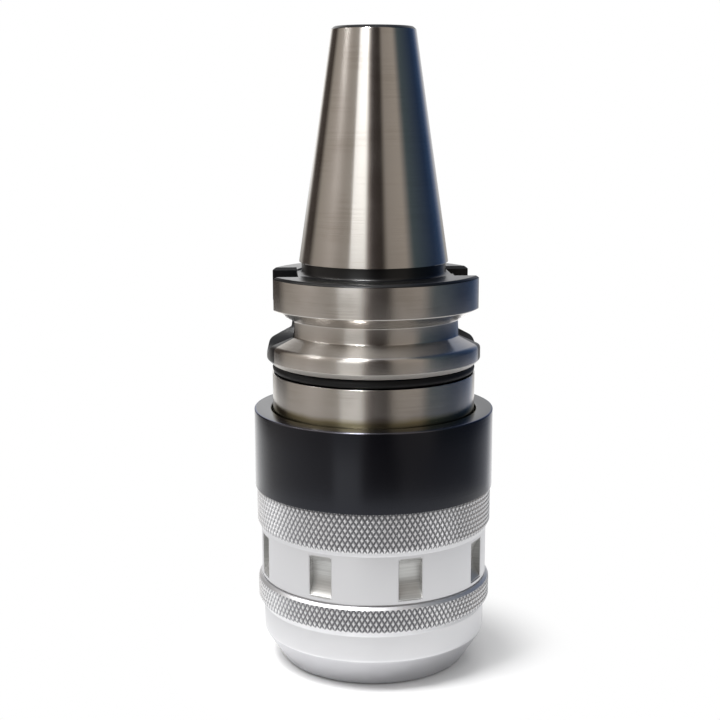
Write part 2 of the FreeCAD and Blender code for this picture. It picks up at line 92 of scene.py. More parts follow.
def eased(corners, steps=4):
    """Outline through (radius, height, ease) corners: ease is the length cut back each way."""
    outline = []
    for index, (radius, height, ease) in enumerate(corners):
        corner = Vector((radius, height))
        if ease == 0:
            outline.append(corner)
            continue
        before = Vector(corners[index - 1][:2])
        after = Vector(corners[(index + 1) % len(corners)][:2])
        start = corner + (before - corner).normalized() * ease
        end = corner + (after - corner).normalized() * ease
        for step in range(steps + 1):
            s = step / steps
            outline.append(start * (1 - s) ** 2 + corner * 2 * s * (1 - s) + end * s ** 2)
    return outline


def finish_mesh(name, mesh):
    """Put a bmesh into an object of its own, outside faces outwards and smooth but for its edges."""
    bmesh.ops.remove_doubles(mesh, verts=mesh.verts, dist=1e-7)
    bmesh.ops.recalc_face_normals(mesh, faces=mesh.faces)
    data = bpy.data.meshes.new(name)
    mesh.to_mesh(data)
    mesh.free()
    data.shade_smooth()
    data.set_sharp_from_angle(angle=SHARP_ANGLE)
    piece = bpy.data.objects.new(name, data)
    bpy.context.scene.collection.objects.link(piece)
    return piece


def lathe(name, outline, steps=192):
    """Turn a closed outline in millimetres once round the axis."""
    mesh = bmesh.new()
    ring = [mesh.verts.new((point.x * MM, 0, point.y * MM)) for point in outline]
    edges = [mesh.edges.new(pair) for pair in zip(ring, ring[1:] + ring[:1])]
    bmesh.ops.spin(mesh, geom=ring + edges, cent=(0, 0, 0), axis=(0, 0, 1),
                   angle=2 * math.pi, steps=steps, use_merge=True)
    return finish_mesh(name, mesh)


def prism(mesh, outline, place):
    """Extrude an outline of (across, up) points by one unit along X and put it in place."""
    near = [mesh.verts.new(place @ Vector((0, across, up))) for across, up in outline]
    far = [mesh.verts.new(place @ Vector((1, across, up))) for across, up in outline]
    mesh.faces.new(near)
    mesh.faces.new(far[::-1])
    for index in range(len(near)):
        after = (index + 1) % len(near)
        mesh.faces.new((near[index], far[index], far[after], near[after]))


def carve(piece, cutter_mesh):
    """Cut a mesh of closed tools out of a piece."""
    cutter = finish_mesh(piece.name + "_cutter", cutter_mesh)
    modifier = piece.modifiers.new("carve", "BOOLEAN")
    modifier.operation = "DIFFERENCE"
    modifier.solver = "EXACT"
    modifier.object = cutter
    graph = bpy.context.evaluated_depsgraph_get()
    data = bpy.data.meshes.new_from_object(piece.evaluated_get(graph))
    piece.modifiers.clear()
    piece.data = data
    data.set_sharp_from_angle(angle=SHARP_ANGLE)
    bpy.data.objects.remove(cutter)


def shank_outline():
    """Closed section: up the outside from the barrel's nose, then down the stud hole and bore."""
    def taper(height):
        return GAUGE_RADIUS - (height - GAUGE_PLANE) * TAPER_SLOPE

    groove_half_floor = 1.7
    flare = (FLANGE_RADIUS - GROOVE_FLOOR) * math.tan(math.radians(GROOVE_DEGREES))
    groove_half_mouth = groove_half_floor + flare
    barrel_rise = (COLLAR_SHOULDER - BARREL_START) * math.tan(math.radians(BARREL_DEGREES))
    seal_groove_foot = FLANGE_REAR - SEAL_GROOVE_WIDTH
    bore_floor = BARREL_NOSE + 60
    return eased([
        (BORE_RADIUS + 0.8, BARREL_NOSE, 0.1),
        (BARREL_THREAD_RADIUS - 0.8, BARREL_NOSE, 0.1),
        (BARREL_THREAD_RADIUS, BARREL_NOSE + 0.8, 0.1),
        (BARREL_THREAD_RADIUS, BARREL_NOSE + 3.4, 0),
        (SNAP_GROOVE_RADIUS, BARREL_NOSE + 3.4, 0),
        (SNAP_GROOVE_RADIUS, BARREL_START, 0),
        (BARREL_RADIUS, BARREL_START, 0),
        (BARREL_RADIUS + barrel_rise, COLLAR_SHOULDER, 0),
        (COLLAR_RADIUS - 0.35, COLLAR_SHOULDER, 0.1),
        (COLLAR_RADIUS, COLLAR_SHOULDER + 0.35, 0.1),
        (COLLAR_RADIUS, seal_groove_foot, 0.12),
        (SEAL_GROOVE_RADIUS, seal_groove_foot, 0),
        (SEAL_GROOVE_RADIUS, FLANGE_REAR, 0),
        (FLANGE_RADIUS - 1.1, FLANGE_REAR, 0.15),
        (FLANGE_RADIUS, FLANGE_REAR + 1.1, 0.15),
        (FLANGE_RADIUS, GROOVE_CENTRE - groove_half_mouth, 0.8),
        (GROOVE_FLOOR, GROOVE_CENTRE - groove_half_floor, 0.25),
        (GROOVE_FLOOR, GROOVE_CENTRE + groove_half_floor, 0.25),
        (FLANGE_RADIUS, GROOVE_CENTRE + groove_half_mouth, 0.2),
        (FLANGE_RADIUS, FLANGE_FACE - 0.45, 0.1),
        (FLANGE_RADIUS - 0.45, FLANGE_FACE, 0.1),
        (RELIEF_RADIUS, FLANGE_FACE, 0.08),
        (RELIEF_RADIUS, FLANGE_FACE - 0.3, 0),
        (NECK_RADIUS, FLANGE_FACE - 0.3, 0.8),
        (NECK_RADIUS, GAUGE_PLANE - 0.3, 0),
        (taper(GAUGE_PLANE - 0.3), GAUGE_PLANE - 0.3, 0.1),
        (taper(SMALL_END - 0.6), SMALL_END - 0.6, 0.15),
        (taper(SMALL_END) - 0.6, SMALL_END, 0.15),
        (STUD_GUIDE_RADIUS + 0.6, SMALL_END, 0.1),
        (STUD_GUIDE_RADIUS, SMALL_END - 0.6, 0.1),
        (STUD_GUIDE_RADIUS, THREAD_TOP, 0),
        (THREAD_ROOT, THREAD_TOP, 0),
        (THREAD_ROOT, THREAD_FOOT, 0),
        (THREAD_DRILL_RADIUS, THREAD_FOOT, 0),
        (THREAD_DRILL_RADIUS, STUD_FLOOR, 0),
        (COOLANT_RADIUS, STUD_FLOOR - 1.1, 0),
        (COOLANT_RADIUS, bore_floor, 0),
        (BORE_RADIUS, bore_floor, 0),
        (BORE_RADIUS, BARREL_NOSE + 0.8, 0.1),
    ])


def keyway_tools():
    """Two end-milled slots with full-round lower ends, flared a little at the flange's face."""
    flare = 0.6
    above_face = 4
    reach = 10
    arc_steps = 32
    side = [(KEYWAY_HALF, FLANGE_FACE - flare), (KEYWAY_HALF + flare, FLANGE_FACE),
            (KEYWAY_HALF + flare, FLANGE_FACE + above_face)]
    outline = [(KEYWAY_HALF * math.cos(a), KEYWAY_END + KEYWAY_HALF * math.sin(a))
               for a in (math.pi + math.pi * step / arc_steps for step in range(arc_steps + 1))]
    outline += side + [(-across, up) for across, up in reversed(side)]
    outline = [(across * MM, up * MM) for across, up in outline]
    mesh = bmesh.new()
    for turn in (0, math.pi):
        start = Matrix.Translation((KEYWAY_FLOOR * MM, 0, 0))
        stretch = Matrix.Diagonal((reach * MM, 1, 1, 1))
        prism(mesh, outline, Matrix.Rotation(turn, 4, "Z") @ start @ stretch)
    return mesh


def stud_thread():
    """Ridge of the pull stud's thread, wound up the hole with its ends run out to nothing."""
    steps_per_turn = 40
    run_out_steps = 12
    half_foot, half_crest, buried = 0.84, 0.12, 0.1
    turns = (THREAD_TOP - THREAD_FOOT) / THREAD_PITCH - 1
    steps = int(turns * steps_per_turn)
    mesh = bmesh.new()
    rings = []
    for step in range(steps + 1):
        angle = 2 * math.pi * turns * step / steps
        height = THREAD_FOOT + THREAD_PITCH * (0.5 + turns * step / steps)
        grown = min(1, step / run_out_steps, (steps - step) / run_out_steps)
        crest = THREAD_ROOT - (THREAD_ROOT - THREAD_CREST) * max(grown, 0.02)
        section = [(THREAD_ROOT + buried, half_foot), (crest, half_crest),
                   (crest, -half_crest), (THREAD_ROOT + buried, -half_foot)]
        rings.append([mesh.verts.new((radius * math.cos(angle) * MM, radius * math.sin(angle) * MM,
                                      (height + rise) * MM)) for radius, rise in section])
    for below, above in zip(rings, rings[1:]):
        for index in range(4):
            after = (index + 1) % 4
            mesh.faces.new((below[index], below[after], above[after], above[index]))
    mesh.faces.new(rings[0])
    mesh.faces.new(rings[-1])
    return finish_mesh("pull_stud_thread", mesh)


def linear(hex_colour):
    """Turn an sRGB hex colour into the linear values that a shader takes."""
    parts = [int(hex_colour[i:i + 2], 16) / 255 for i in (1, 3, 5)]
    return tuple(c / 12.92 if c <= 0.04045 else ((c + 0.055) / 1.055) ** 2.4 for c in parts) + (1,)


def add(tree, kind, settings=None):
    """Add a node. A setting names a property or an input, or gives the stops of a colour ramp.

    An input takes a value, a hex colour, a link, or a node, whose first output it follows.
    A Mix of colours has its factor at input 0, its colours at 6 and 7, and output 2.
    """
    node = tree.nodes.new(kind)
    for key, setting in (settings or {}).items():
        if isinstance(setting, str) and setting.startswith("#"):
            setting = linear(setting)
        if isinstance(setting, bpy.types.Node):
            setting = setting.outputs[0]
        if isinstance(setting, bpy.types.NodeSocket):
            tree.links.new(setting, node.inputs[key])
        elif key == "stops":
            elements = node.color_ramp.elements
            while len(elements) < len(setting):
                elements.new(0.5)
            for element, (place, colour) in zip(elements, setting):
                element.position = place
                element.color = linear(colour)
        elif isinstance(key, int) or key in node.inputs:
            node.inputs[key].default_value = setting
        else:
            setattr(node, key, setting)
    return node


def new_material(name):
    """An empty node material and its tree."""
    material = bpy.data.materials.new(name)
    material.use_nodes = True
    material.node_tree.nodes.clear()
    return material, material.node_tree


def coordinates(tree):
    """A piece's own coordinates: all three together, X, Y, the height, and the radius."""
    place = add(tree, "ShaderNodeTexCoord").outputs["Object"]
    x, y, height = add(tree, "ShaderNodeSeparateXYZ", {0: place}).outputs
    flat = add(tree, "ShaderNodeCombineXYZ", {"X": x, "Y": y})
    radius = add(tree, "ShaderNodeVectorMath", {"operation": "LENGTH", 0: flat}).outputs["Value"]
    return place, x, y, height, radius


def within(tree, *spans):
    """1 where each value lies between its two limits, given in millimetres, and 0 elsewhere."""
    mask = None
    for value, low, high in spans:
        inside = add(tree, "ShaderNodeMath", {"operation": "COMPARE", 0: value,
                                              1: (low + high) / 2 * MM, 2: (high - low) / 2 * MM})
        if mask is not None:
            inside = add(tree, "ShaderNodeMath", {"operation": "MULTIPLY", 0: mask, 1: inside})
        mask = inside
    return mask


def oxide_left(tree, x, y, height, radius):
    """1 where black oxide is left: the small end, the neck, the keyways and the O-ring's groove."""
    reach = add(tree, "ShaderNodeMath", {"operation": "ABSOLUTE", 0: x})
    small_end = within(tree, (height, SMALL_END - 0.6, SMALL_END + 1))
    neck = within(tree, (height, FLANGE_FACE - 0.61, GAUGE_PLANE - 0.31))
    keyways = within(tree, (y, -KEYWAY_HALF - 0.01, KEYWAY_HALF + 0.01),
                     (reach, KEYWAY_FLOOR - 0.01, FLANGE_RADIUS + 1),
                     (height, FLANGE_REAR + 0.5, FLANGE_FACE + 1))
    seal_groove = within(tree, (radius, 0, COLLAR_RADIUS - 0.25),
                         (height, FLANGE_REAR - SEAL_GROOVE_WIDTH - 0.01, FLANGE_REAR + 0.01))
    mask = small_end
    for place in (neck, keyways, seal_groove):
        mask = add(tree, "ShaderNodeMath", {"operation": "MAXIMUM", 0: mask, 1: place})
    return mask


def ground_steel():
    """Ground tool steel: a warm grey mirror, blurred sideways by its grinding rings.

    Real grinding rings are some hundredths of a millimetre apart. These are 0.2 mm apart, as
    coarse as they need to be to show. Places that were never ground show satin black oxide.
    """
    material, tree = new_material("ground_tool_steel")
    place, x, y, height, radius = coordinates(tree)
    rings = add(tree, "ShaderNodeMapping",
                {"Vector": place, "Scale": (0.06 / MM, 0.06 / MM, 5.2 / MM)})
    grain = add(tree, "ShaderNodeTexNoise",
                {"Vector": rings, "Scale": 1, "Detail": 3, "Roughness": 0.6})
    blotch = add(tree, "ShaderNodeTexNoise", {"Vector": place, "Scale": 0.13 / MM, "Detail": 5})
    bump = add(tree, "ShaderNodeBump", {"Strength": 0.007, "Distance": 0.1 * MM, "Height": grain})
    wear = add(tree, "ShaderNodeMath", {"operation": "ADD", 0: grain, 1: blotch})
    bare = add(tree, "ShaderNodeValToRGB",
               {"Fac": wear, "stops": [(0.7, "#c1bcb6"), (1.0, "#c9c5c0")]})
    # Rust-preventive oil has crept up from the cover ring and dried to a faint yellow.
    creep = add(tree, "ShaderNodeMath",
                {"operation": "MULTIPLY_ADD", 0: blotch, 1: 1.6 * MM, 2: height})
    film = add(tree, "ShaderNodeMapRange",
               {"Value": creep, "From Min": OIL_LINE * MM, "From Max": (OIL_LINE + 1.2) * MM,
                "To Min": 0.7, "To Max": 0.0})
    oiled = add(tree, "ShaderNodeMix", {"data_type": "RGBA", "blend_type": "MULTIPLY",
                                        0: film, 6: bare, 7: "#c9bd7c"}).outputs[2]
    polish = add(tree, "ShaderNodeMapRange",
                 {"Value": blotch, "From Min": 0.3, "From Max": 0.7, "To Min": 0.17, "To Max": 0.22})
    # The flange and collar are left coarser than the taper, which has to seat.
    below_face = within(tree, (height, BARREL_NOSE - 1, FLANGE_FACE))
    coarser = add(tree, "ShaderNodeMath",
                  {"operation": "MULTIPLY_ADD", 0: below_face, 1: 0.04, 2: polish})
    # The flange's rear chamfer is turned and not ground, so it hardly mirrors.
    chamfer = within(tree, (height, FLANGE_REAR - 0.1, FLANGE_REAR + 1.2),
                     (radius, COLLAR_RADIUS + 0.02, FLANGE_RADIUS + 1))
    roughness = add(tree, "ShaderNodeMath",
                    {"operation": "MULTIPLY_ADD", 0: chamfer, 1: 0.22, 2: coarser})
    tangent = add(tree, "ShaderNodeTangent", {"direction_type": "RADIAL", "axis": "Z"})
    steel = add(tree, "ShaderNodeBsdfPrincipled",
                {"Base Color": oiled, "Metallic": 1, "Roughness": roughness, "Normal": bump,
                 "Anisotropic": 0.8, "Anisotropic Rotation": 0.25, "Tangent": tangent})
    oxide = add(tree, "ShaderNodeBsdfPrincipled", {"Base Color": "#08090b", "Roughness": 0.28})
    mask = oxide_left(tree, x, y, height, radius)
    mix = add(tree, "ShaderNodeMixShader", {0: mask, 1: steel, 2: oxide})
    add(tree, "ShaderNodeOutputMaterial", {"Surface": mix})
    return material


shank = lathe("steep_taper_shank", shank_outline())
carve(shank, keyway_tools())
thread = stud_thread()
steel = ground_steel()
for piece in (shank, thread):
    piece.data.materials.append(steel)
    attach(piece, "shank")
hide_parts("shank_body")

# ---------------------------------------------------------------------------------- O-ring
# A nitrile rubber cord moulded as a ring, stretched over the collar into the groove under the
# flange. With the nut fully up, the top of the cover ring comes close under it.

ORING_CORD = 1.0
ORING_CENTRE = 20.82
ORING_SIDES = 20


def black_rubber():
    """Moulded nitrile rubber: dull black with a soft sheen and a grain of a quarter millimetre."""
    material, tree = new_material("nitrile_rubber")
    place = add(tree, "ShaderNodeTexCoord").outputs["Object"]
    grain = add(tree, "ShaderNodeTexNoise", {"Vector": place, "Scale": 4 / MM, "Detail": 2})
    bump = add(tree, "ShaderNodeBump", {"Strength": 0.1, "Distance": 0.05 * MM, "Height": grain})
    skin = add(tree, "ShaderNodeBsdfPrincipled", {"Base Color": "#08080a", "Roughness": 0.5,
                                                  "Specular IOR Level": 0.25, "Normal": bump})
    add(tree, "ShaderNodeOutputMaterial", {"Surface": skin})
    return material


rubber = black_rubber()
cord_low, cord_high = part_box("flange_o_ring")
cord_height = (cord_low.z + cord_high.z) / 2 / MM
cord = [Vector((ORING_CENTRE + ORING_CORD * math.cos(a), cord_height + ORING_CORD * math.sin(a)))
        for a in (2 * math.pi * side / ORING_SIDES for side in range(ORING_SIDES))]
o_ring = lathe("flange_seal_cord", cord)
o_ring.data.materials.append(rubber)
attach(o_ring, "shank")
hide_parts("flange_o_ring")

# ---------------------------------------------------------------------------------- cover ring
# A turned steel ring with a fine black oxide finish, screwed on the nut's spigot. It slides
# over the collar and keeps chips out of the rollers.

cover_low, cover_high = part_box("cover_ring")
COVER_FOOT = cover_low.z / MM
COVER_TOP = cover_high.z / MM
COVER_RADIUS = cover_high.x / MM
COVER_BORE = COLLAR_RADIUS + 0.35
COVER_THREAD_RADIUS = 23.05
COVER_THREAD_TOP = COVER_FOOT + 5.05
WIPER_GROOVE_RADIUS = 23.5
WIPER_GROOVE_FOOT = COVER_TOP - 3.2
WIPER_GROOVE_TOP = COVER_TOP - 1.2
# Width in millimetres of the top outer edge that is painted lighter as a highlight.
EDGE_HIGHLIGHT_BAND = 0.3


def cover_outline():
    """Closed section: the outside, the wiper's groove in the bore, and the threaded skirt."""
    return eased([
        (COVER_THREAD_RADIUS, COVER_FOOT, 0),
        (COVER_RADIUS, COVER_FOOT, 0.12),
        (COVER_RADIUS, COVER_TOP, 0.3),
        (COVER_BORE, COVER_TOP, 0.4),
        (COVER_BORE, WIPER_GROOVE_TOP, 0),
        (WIPER_GROOVE_RADIUS, WIPER_GROOVE_TOP, 0),
        (WIPER_GROOVE_RADIUS, WIPER_GROOVE_FOOT, 0),
        (COVER_BORE, WIPER_GROOVE_FOOT, 0),
        (COVER_BORE, COVER_THREAD_TOP, 0),
        (COVER_THREAD_RADIUS, COVER_THREAD_TOP, 0),
    ])


def black_oxide():
    """Black oxide on turned steel: near black and satin, with a blue cast, and faint rings.

    The top outer edge is painted lighter and metallic, as a painted highlight. The turning rings
    are a quarter of a millimetre apart, a little coarser than a real fine cut, so that they show.
    """
    material, tree = new_material("black_oxide_steel")
    place, _, _, height, radius = coordinates(tree)
    # The top outer edge is painted lighter grey and metallic: a painted highlight.
    highlight_edge = within(tree, (height, COVER_TOP - EDGE_HIGHLIGHT_BAND, COVER_TOP + 1),
                    (radius, COVER_RADIUS - EDGE_HIGHLIGHT_BAND, COVER_RADIUS + 1))
    tone = add(tree, "ShaderNodeMix",
               {"data_type": "RGBA", 0: highlight_edge, 6: "#08080c", 7: "#66666e"}).outputs[2]
    rings = add(tree, "ShaderNodeMapping",
                {"Vector": place, "Scale": (0.06 / MM, 0.06 / MM, 4 / MM)})
    grain = add(tree, "ShaderNodeTexNoise", {"Vector": rings, "Scale": 1, "Detail": 3})
    bump = add(tree, "ShaderNodeBump", {"Strength": 0.06, "Distance": 0.1 * MM, "Height": grain})
    oxide = add(tree, "ShaderNodeBsdfPrincipled",
                {"Base Color": tone, "Metallic": highlight_edge, "Roughness": 0.2,
                 "Specular Tint": "#e0e5f4", "Normal": bump})
    add(tree, "ShaderNodeOutputMaterial", {"Surface": oxide})
    return material


black_steel = black_oxide()
cover = lathe("black_cover_ring", cover_outline())
cover.data.materials.append(black_steel)
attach(cover, "nut")
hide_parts("cover_ring")

# ---------------------------------------------------------------------------------- nut
# Turned from bar, knurled in two bands, milled with eight pockets for the hook wrench and
# plated satin silver. The knurl is real geometry: one pyramid for each crossing of the rolls.

NUT_TOP = COVER_FOOT
SPIGOT_RADIUS = 23
SPIGOT_HEIGHT = 4.05
NOSE_FOOT = 19.87
NOSE_BEVEL = 6.9
NOSE_BAND = 24.35
NOSE_BAND_TOP = 12.5
NOSE_BORE = 15.7
NOSE_WALL = 3.4
NOSE_SEAL_RADIUS = 17.6
NOSE_SEAL_FOOT = 0.9
NOSE_SEAL_TOP = 2.6
INNER_RELIEF = 19.2
ROLLER_BORE_START = 9.8
ROLLER_BORE_FOOT = 18.93
ROLLER_BORE_TOP = 19.5
SHOULDER_RADIUS = 24.8
SHOULDER_TOP = 19.1
WAIST = 24.2
MIDDLE_BAND = 24.7
MIDDLE_BAND_FOOT = 19.5
MIDDLE_BAND_TOP = 29.8
KNURL_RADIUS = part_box("clamping_nut")[1].x / MM
KNURL_DEPTH = 0.42
KNURL_COUNT = 137
KNURL_PITCH = 1.98
KNURL_STEPS = 6
KNURL_FLANK = 3.0
KNURL_WALL = 1.2
UPPER_KNURL_FOOT = 30.6
LOWER_KNURL_FOOT = 13.6
LOWER_KNURL_TOP = 18.55
LOWER_KNURL_RADIUS = KNURL_RADIUS - 0.05
LOWER_KNURL_LIP = KNURL_RADIUS - 0.2
# The chamfer at a band's end: its radius there, and what that gains with each millimetre. A
# square end gains so fast that only the last row of points is cut back.
SQUARE = 10.0
UPPER_KNURL_ENDS = (25.08, 0.85 / 1.8), (25.4, SQUARE)
LOWER_KNURL_ENDS = (25.09, 0.676), (LOWER_KNURL_LIP, SQUARE)
POCKETS = 8
POCKET_PHASE = math.radians(13.7)
POCKET_HEIGHT = 24.65
POCKET_WIDTH = 5.1
POCKET_DEPTH = 1.9
POCKET_CUTTER = 6.35
POCKET_LIP = 0.15


def nut_outline():
    """Closed section: up the outside from the nose, then down the bore past the seal's groove."""
    under_knurl = KNURL_RADIUS - KNURL_DEPTH - 0.05
    return eased([
        (NOSE_BORE, 0, 0.3),
        (NOSE_FOOT, 0, 1.1),
        (NOSE_BAND, NOSE_BEVEL, 0.5),
        (NOSE_BAND, NOSE_BAND_TOP, 0.2),
        (under_knurl, LOWER_KNURL_FOOT, 0),
        (under_knurl, LOWER_KNURL_TOP - 0.05, 0),
        (LOWER_KNURL_LIP, LOWER_KNURL_TOP, 0.03),
        (SHOULDER_RADIUS, SHOULDER_TOP, 0.03),
        (WAIST, SHOULDER_TOP, 0),
        (WAIST, MIDDLE_BAND_FOOT, 0),
        (MIDDLE_BAND, MIDDLE_BAND_FOOT, 0.06),
        (MIDDLE_BAND, MIDDLE_BAND_TOP, 0.1),
        (under_knurl, UPPER_KNURL_FOOT, 0),
        (under_knurl, NUT_TOP, 0),
        (SPIGOT_RADIUS, NUT_TOP, 0),
        (SPIGOT_RADIUS, NUT_TOP + SPIGOT_HEIGHT, 0.1),
        (ROLLER_BORE_TOP, NUT_TOP + SPIGOT_HEIGHT, 0.1),
        (ROLLER_BORE_FOOT, ROLLER_BORE_START, 0),
        (INNER_RELIEF, ROLLER_BORE_START, 0),
        (INNER_RELIEF, NOSE_WALL, 0),
        (NOSE_BORE, NOSE_WALL, 0),
        (NOSE_BORE, NOSE_SEAL_TOP, 0),
        (NOSE_SEAL_RADIUS, NOSE_SEAL_TOP, 0),
        (NOSE_SEAL_RADIUS, NOSE_SEAL_FOOT, 0),
        (NOSE_BORE, NOSE_SEAL_FOOT, 0),
    ])


def pocket_tools():
    """A ring of disc cutters, each lying on its side across the band."""
    rim_steps = 72
    out = MIDDLE_BAND - POCKET_DEPTH + POCKET_CUTTER
    rim = [(POCKET_CUTTER * math.cos(a) * MM, POCKET_CUTTER * math.sin(a) * MM)
           for a in (2 * math.pi * step / rim_steps for step in range(rim_steps))]
    mesh = bmesh.new()
    for index in range(POCKETS):
        swing = Matrix.Rotation(POCKET_PHASE + index * 2 * math.pi / POCKETS, 4, "Z")
        across = Matrix.Translation((out * MM, -POCKET_WIDTH / 2 * MM, POCKET_HEIGHT * MM))
        lay = Matrix.Rotation(math.pi / 2, 4, "Z") @ Matrix.Diagonal((POCKET_WIDTH * MM, 1, 1, 1))
        prism(mesh, rim, swing @ across @ lay)
    return mesh


def lip_tools():
    """Wedges that break the long edges of the pockets."""
    half_width = POCKET_WIDTH / 2
    half_length = math.sqrt(POCKET_CUTTER ** 2 - (POCKET_CUTTER - POCKET_DEPTH) ** 2)
    surface = math.sqrt(MIDDLE_BAND ** 2 - half_width ** 2)
    flare = 0.6
    section = [(half_width, surface - POCKET_LIP),
               (half_width + flare, surface + flare - POCKET_LIP),
               (-half_width - flare, surface + flare - POCKET_LIP),
               (-half_width, surface - POCKET_LIP)]
    section = [(across * MM, out * MM) for across, out in section]
    mesh = bmesh.new()
    for index in range(POCKETS):
        swing = Matrix.Rotation(POCKET_PHASE + index * 2 * math.pi / POCKETS, 4, "Z")
        foot = Matrix.Translation((0, 0, (POCKET_HEIGHT - half_length) * MM))
        stand = Matrix(((0, 0, 1, 0), (0, 1, 0, 0), (2 * half_length * MM, 0, 0, 0), (0, 0, 0, 1)))
        prism(mesh, section, swing @ foot @ stand)
    return mesh


def satin_silver():
    """Satin plating over fine turning: bright neutral grey with blurred reflections.

    The pockets are cut after plating and show steel with the cutter's marks, and are painted
    darker as the shade of the recess. The marks are 0.2 mm apart, coarser than real ones, so
    that they show.
    """
    material, tree = new_material("satin_plated_steel")
    place, _, _, height, radius = coordinates(tree)
    rings = add(tree, "ShaderNodeMapping",
                {"Vector": place, "Scale": (0.08 / MM, 0.08 / MM, 5 / MM)})
    grain = add(tree, "ShaderNodeTexNoise", {"Vector": rings, "Scale": 1, "Detail": 3})
    bump = add(tree, "ShaderNodeBump", {"Strength": 0.05, "Distance": 0.1 * MM, "Height": grain})
    # The pockets: cut steel with its marks, painted darker as the shade inside the recess.
    pocket_cuts_and_shade = within(tree, (height, MIDDLE_BAND_FOOT + 0.1, MIDDLE_BAND_TOP - 0.1),
                    (radius, MIDDLE_BAND - POCKET_DEPTH - 0.2, MIDDLE_BAND - POCKET_LIP - 0.03))
    shaded_cuts = add(tree, "ShaderNodeValToRGB",
               {"Fac": grain, "stops": [(0.3, "#adadab"), (0.7, "#c4c4c2")]})
    # The nose's bevel, low down by the floor, is painted darker as shade.
    bevel_shade = within(tree, (height, -1, NOSE_BEVEL))
    plated = add(tree, "ShaderNodeMix",
                 {"data_type": "RGBA", 0: bevel_shade, 6: "#d4d4d6", 7: "#b9b9bc"}).outputs[2]
    tone = add(tree, "ShaderNodeMix", {"data_type": "RGBA", 0: pocket_cuts_and_shade, 6: plated,
                                       7: shaded_cuts}).outputs[2]
    metallic = add(tree, "ShaderNodeMapRange", {"Value": pocket_cuts_and_shade, "To Min": 0.8, "To Max": 0.7})
    metal = add(tree, "ShaderNodeBsdfPrincipled",
                {"Base Color": tone, "Metallic": metallic, "Roughness": 0.36, "Normal": bump})
    add(tree, "ShaderNodeOutputMaterial", {"Surface": metal})
    return material


def knurled_silver():
    """The same plating in the knurl, painted darker in the valleys as their shade."""
    material, tree = new_material("satin_plated_knurl")
    crest = add(tree, "ShaderNodeAttribute", {"attribute_name": "crest"}).outputs["Fac"]
    # Painted shade: the valleys darker, the crests lighter.
    tone = add(tree, "ShaderNodeValToRGB",
               {"Fac": crest, "stops": [(0.0, "#8c8c8f"), (0.4, "#a6a6a9"), (0.85, "#dcdcdd")]})
    metal = add(tree, "ShaderNodeBsdfPrincipled",
                {"Base Color": tone, "Metallic": 0.6, "Roughness": 0.38})
    add(tree, "ShaderNodeOutputMaterial", {"Surface": metal})
    return material


